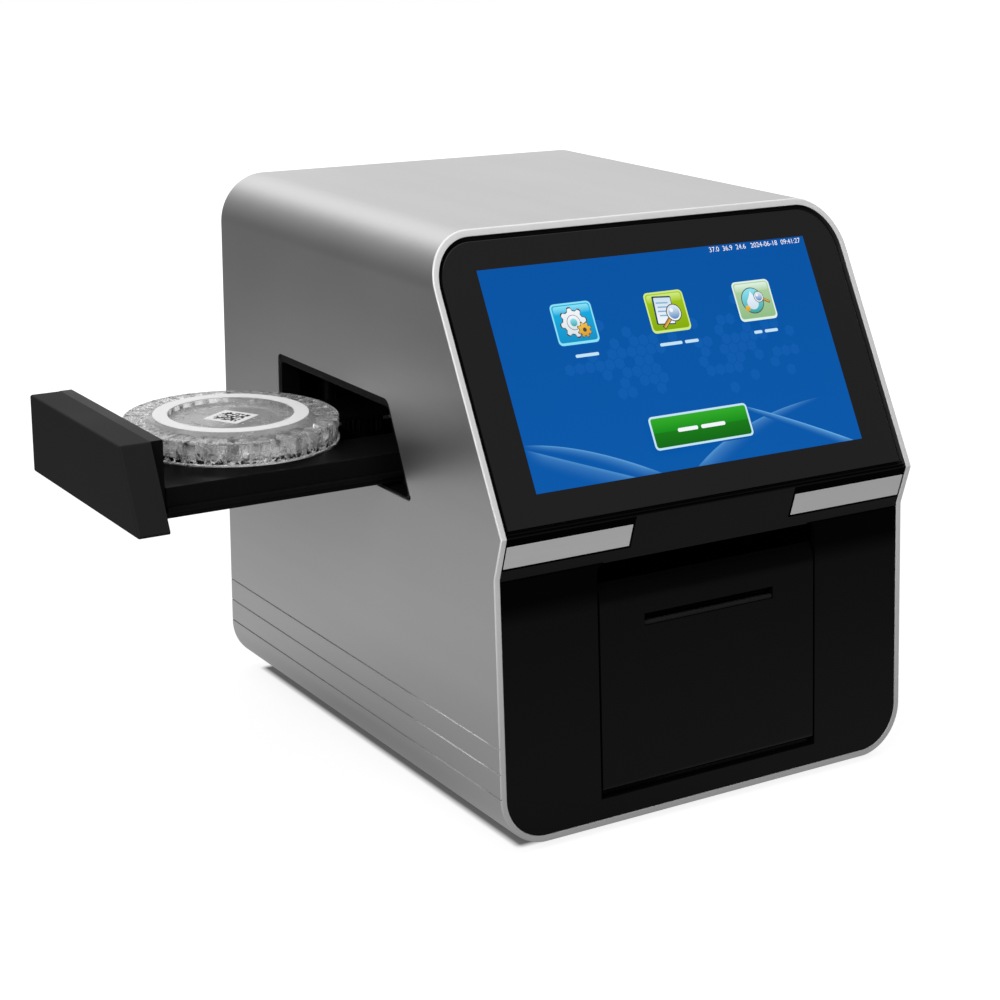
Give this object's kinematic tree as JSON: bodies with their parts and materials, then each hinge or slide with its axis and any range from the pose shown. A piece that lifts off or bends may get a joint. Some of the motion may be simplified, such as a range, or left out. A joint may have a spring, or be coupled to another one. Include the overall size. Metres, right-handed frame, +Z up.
{
  "type": "benchtop chemistry analyzer",
  "caption": "Benchtop chemistry analyzer: aluminium sleeve, leaning touch screen, drop-down printer door and a side drawer that carries a spinning clear reagent disc.",
  "frame": {"origin": "middle of the bounding box on the bench, with the drawer out and the printer door shut", "axes": "+X to the right as seen from the front, so the drawer comes out towards -X; the front faces -Y; +Z up"},
  "size_m": [0.303, 0.231, 0.2245],
  "materials": {
    "satin_aluminium": "satin, fine blasted",
    "strip_aluminium": "brushed",
    "black_gloss": "gloss",
    "screen_glass": "gloss",
    "lcd_panel": "satin",
    "black_plastic": "matte",
    "tray_grey": "satin",
    "zinc_sheet": "zinc plated",
    "bright_steel": "bright",
    "motor_steel": "satin",
    "gear_brass": "turned",
    "gear_nylon": "satin",
    "soft_rubber": "matte",
    "clear_plastic": "clear",
    "label_paper": "matte paper",
    "circuit_green": "satin"
  },
  "bodies": {
    "housing": {"sleeve_shell": "satin_aluminium", "heater_plate": "satin_aluminium", "chin_strip_left": "strip_aluminium", "chin_strip_right": "strip_aluminium", "chin_bar": "black_gloss", "lower_fascia": "black_gloss", "touch_glass": "screen_glass", "lcd_module": "lcd_panel", "screen_carrier": "black_plastic", "slot_bezel": "black_plastic", "printer_cradle": "black_plastic", "print_head": "black_plastic", "power_inlet": "black_plastic", "switch_frame": "black_plastic", "cooling_fan": "black_plastic", "optics_frame": "black_plastic", "code_reader": "black_plastic", "rear_panel": "black_plastic", "base_plate": "zinc_sheet", "drawer_deck": "zinc_sheet", "guide_front": "zinc_sheet", "guide_rear": "zinc_sheet", "power_supply": "zinc_sheet", "foot_screws": "bright_steel", "rear_screws": "bright_steel", "door_pins": "bright_steel", "roll_spindle": "bright_steel", "deck_pillars": "bright_steel", "heater_posts": "bright_steel", "fan_guard": "bright_steel", "lamp_module": "bright_steel", "io_ports": "bright_steel", "drawer_motor": "motor_steel", "printer_motor": "motor_steel", "foot_front_left": "soft_rubber", "foot_front_right": "soft_rubber", "foot_rear_left": "soft_rubber", "foot_rear_right": "soft_rubber", "main_board": "circuit_green", "detector_board": "circuit_green"},
    "drawer": {"drawer_front": "black_plastic", "drawer_tray": "tray_grey", "drawer_rack": "gear_nylon", "spindle_motor": "motor_steel"},
    "disc": {"disc_hub": "bright_steel", "reagent_disc": "clear_plastic", "label_ring": "label_paper", "code_label": "label_paper"},
    "drive": {"drive_pinion": "gear_brass"},
    "door": {"printer_door": "black_gloss", "tear_bar": "bright_steel"},
    "platen": {"platen_shaft": "bright_steel", "platen_roller": "soft_rubber", "platen_gear": "gear_nylon"},
    "idler": {"idler_gear": "gear_nylon"},
    "feed": {"motor_pinion": "gear_brass"},
    "roll": {"paper_roll": "label_paper"},
    "fan": {"fan_rotor": "black_plastic"},
    "rocker": {"power_rocker": "black_plastic"}
  },
  "joints": [
    {"name": "drawer_slide", "type": "slide", "parent": "housing", "child": "drawer", "axis": [1, 0, 0], "range_m": [0, 0.109]},
    {"name": "drive_spin", "type": "hinge", "parent": "housing", "child": "drive", "pos_m": [-0.0141, 0.0424, 0.113], "axis": [0, 0, 1], "range_deg": [-782.65, 2]},
    {"name": "disc_spin", "type": "hinge", "parent": "drawer", "child": "disc", "pos_m": [-0.0876, 0.0135, 0.1378], "axis": [0, 0, 1], "continuous": true},
    {"name": "door_hinge", "type": "hinge", "parent": "housing", "child": "door", "pos_m": [0.0545, -0.10835, 0.01992], "axis": [1, 0, 0], "range_deg": [0, 75]},
    {"name": "platen_spin", "type": "hinge", "parent": "door", "child": "platen", "pos_m": [0.0545, -0.0994, 0.07221], "axis": [1, 0, 0], "continuous": true},
    {"name": "idler_spin", "type": "hinge", "parent": "housing", "child": "idler", "pos_m": [0.096, -0.08494, 0.07115], "axis": [1, 0, 0], "continuous": true},
    {"name": "feed_spin", "type": "hinge", "parent": "housing", "child": "feed", "pos_m": [0.096, -0.08583, 0.05908], "axis": [1, 0, 0], "continuous": true},
    {"name": "roll_spin", "type": "hinge", "parent": "housing", "child": "roll", "pos_m": [0.0545, -0.07196, 0.04995], "axis": [1, 0, 0], "continuous": true},
    {"name": "fan_spin", "type": "hinge", "parent": "housing", "child": "fan", "pos_m": [0.0545, 0.0995, 0.1875], "axis": [0, 1, 0], "continuous": true},
    {"name": "power_switch", "type": "hinge", "parent": "housing", "child": "rocker", "pos_m": [0.0745, 0.1085, 0.035], "axis": [1, 0, 0], "range_deg": [-22, 0]}
  ],
  "couplings": [
    {"joint": "drive_spin", "follows": "drawer_slide", "rad_per_m": -125},
    {"joint": "platen_spin", "follows": "roll_spin", "ratio": 3.3333},
    {"joint": "idler_spin", "follows": "roll_spin", "ratio": -2.381},
    {"joint": "feed_spin", "follows": "roll_spin", "ratio": 5.5556}
  ]
}
